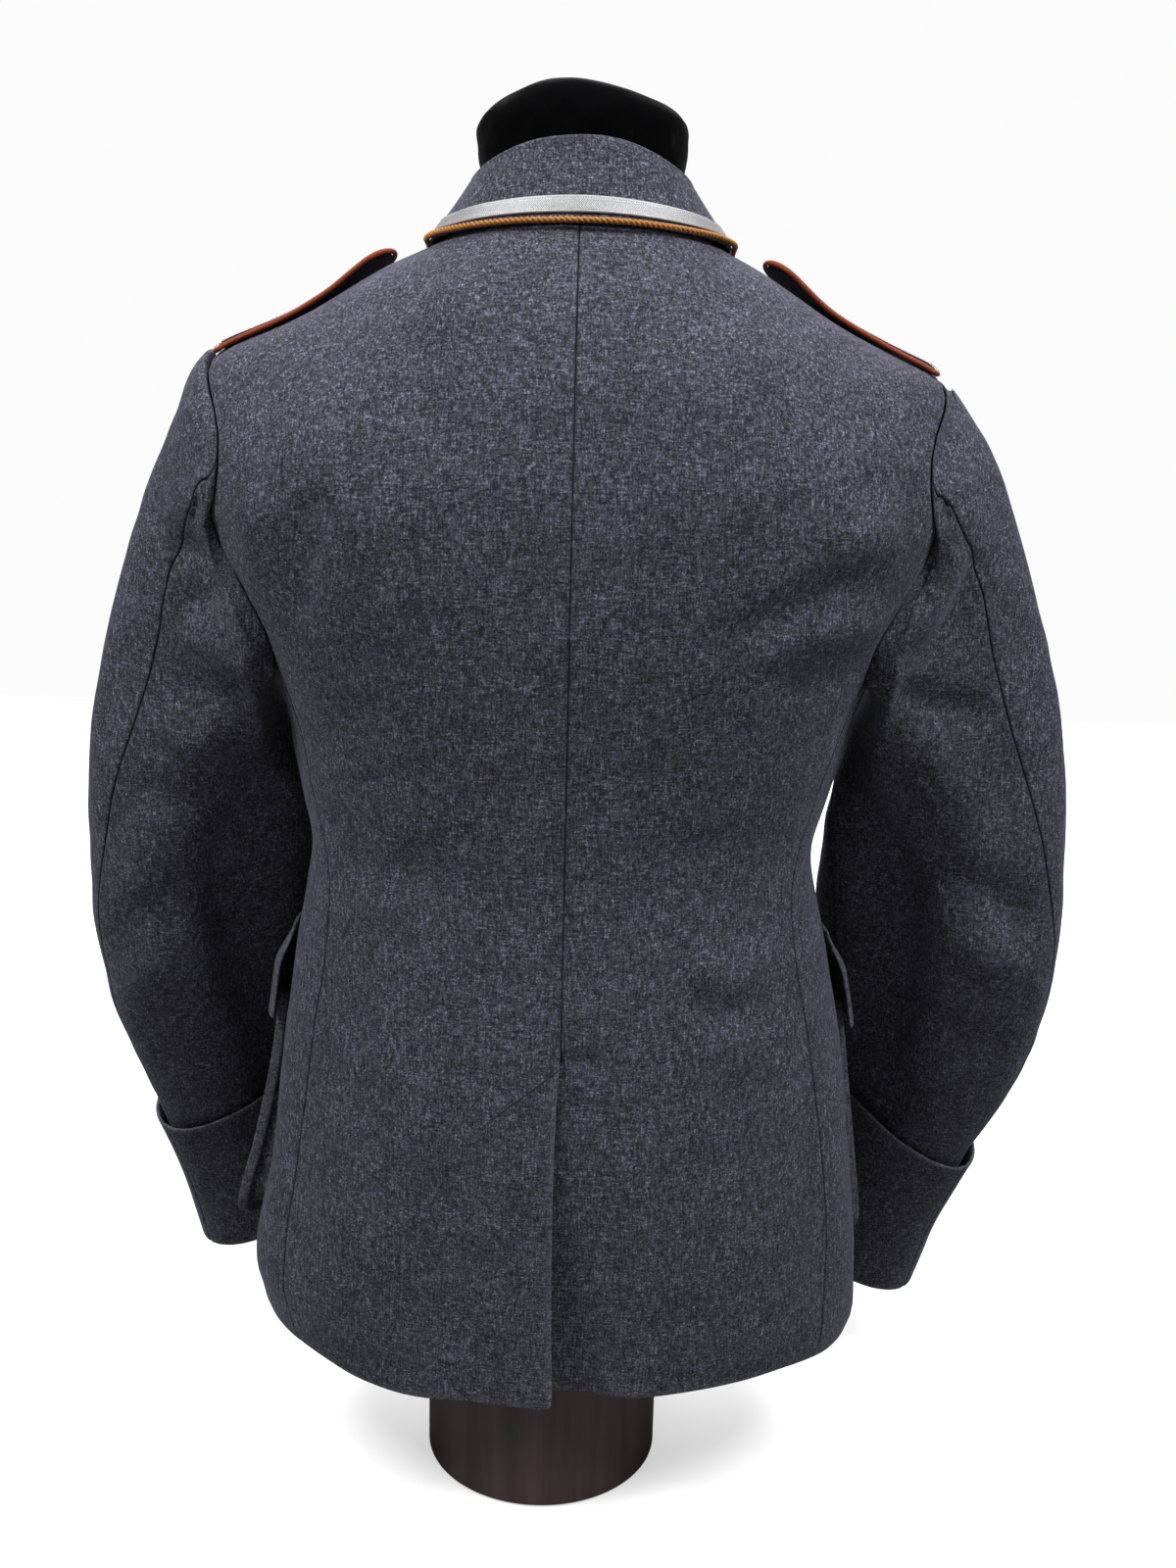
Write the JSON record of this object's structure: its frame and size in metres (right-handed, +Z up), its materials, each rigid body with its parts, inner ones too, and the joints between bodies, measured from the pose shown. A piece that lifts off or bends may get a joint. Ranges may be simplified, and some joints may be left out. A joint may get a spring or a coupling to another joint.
{
  "type": "military dress tunic on a dress form",
  "caption": "Wool military dress tunic with braided turn-down collar, shoulder boards, bellows skirt pockets, turned-back cuffs and a back vent, worn by a limbless dress form on a round base.",
  "frame": {"origin": "centre of the flat underside of the form's round base", "axes": "+Z up; the garment's front faces -Y, its back faces +Y and the wearer's left is +X"},
  "size_m": [0.6313, 0.2953, 0.8617],
  "materials": {
    "wool": "blue-grey heathered melton wool, matt and lightly fuzzy",
    "silver_braid": "silver-white flat woven braid with a soft sheen",
    "tan_cord": "twisted golden-tan cord",
    "board_cloth": "charcoal wool cloth, matt",
    "orange_piping": "rust-orange wool piping",
    "button_metal": "plain domed metal buttons, satin",
    "velvet": "black velvet",
    "form_shell": "dark brown smooth shell, semi-matt"
  },
  "bodies": {
    "root": {"back_left": "wool", "back_right": "wool", "front_left": "wool", "front_right": "wool", "pocket_left": "wool", "pocket_right": "wool", "pocket_flap_left": "wool", "pocket_flap_right": "wool", "sleeve_top_left": "wool", "sleeve_top_right": "wool", "sleeve_under_left": "wool", "sleeve_under_right": "wool", "cuff_left": "wool", "cuff_right": "wool", "collar": "wool", "collar_braid": "silver_braid", "collar_cord": "tan_cord", "shoulder_board_left": "board_cloth", "shoulder_board_right": "board_cloth", "board_piping_left": "orange_piping", "board_piping_right": "orange_piping", "board_braid_left": "silver_braid", "board_braid_right": "silver_braid", "board_button_left": "button_metal", "board_button_right": "button_metal", "front_button_1": "button_metal", "front_button_2": "button_metal", "front_button_3": "button_metal", "front_button_4": "button_metal", "front_button_5": "button_metal", "form_torso": "form_shell", "form_neck": "velvet", "form_base": "form_shell"}
  },
  "joints": []
}
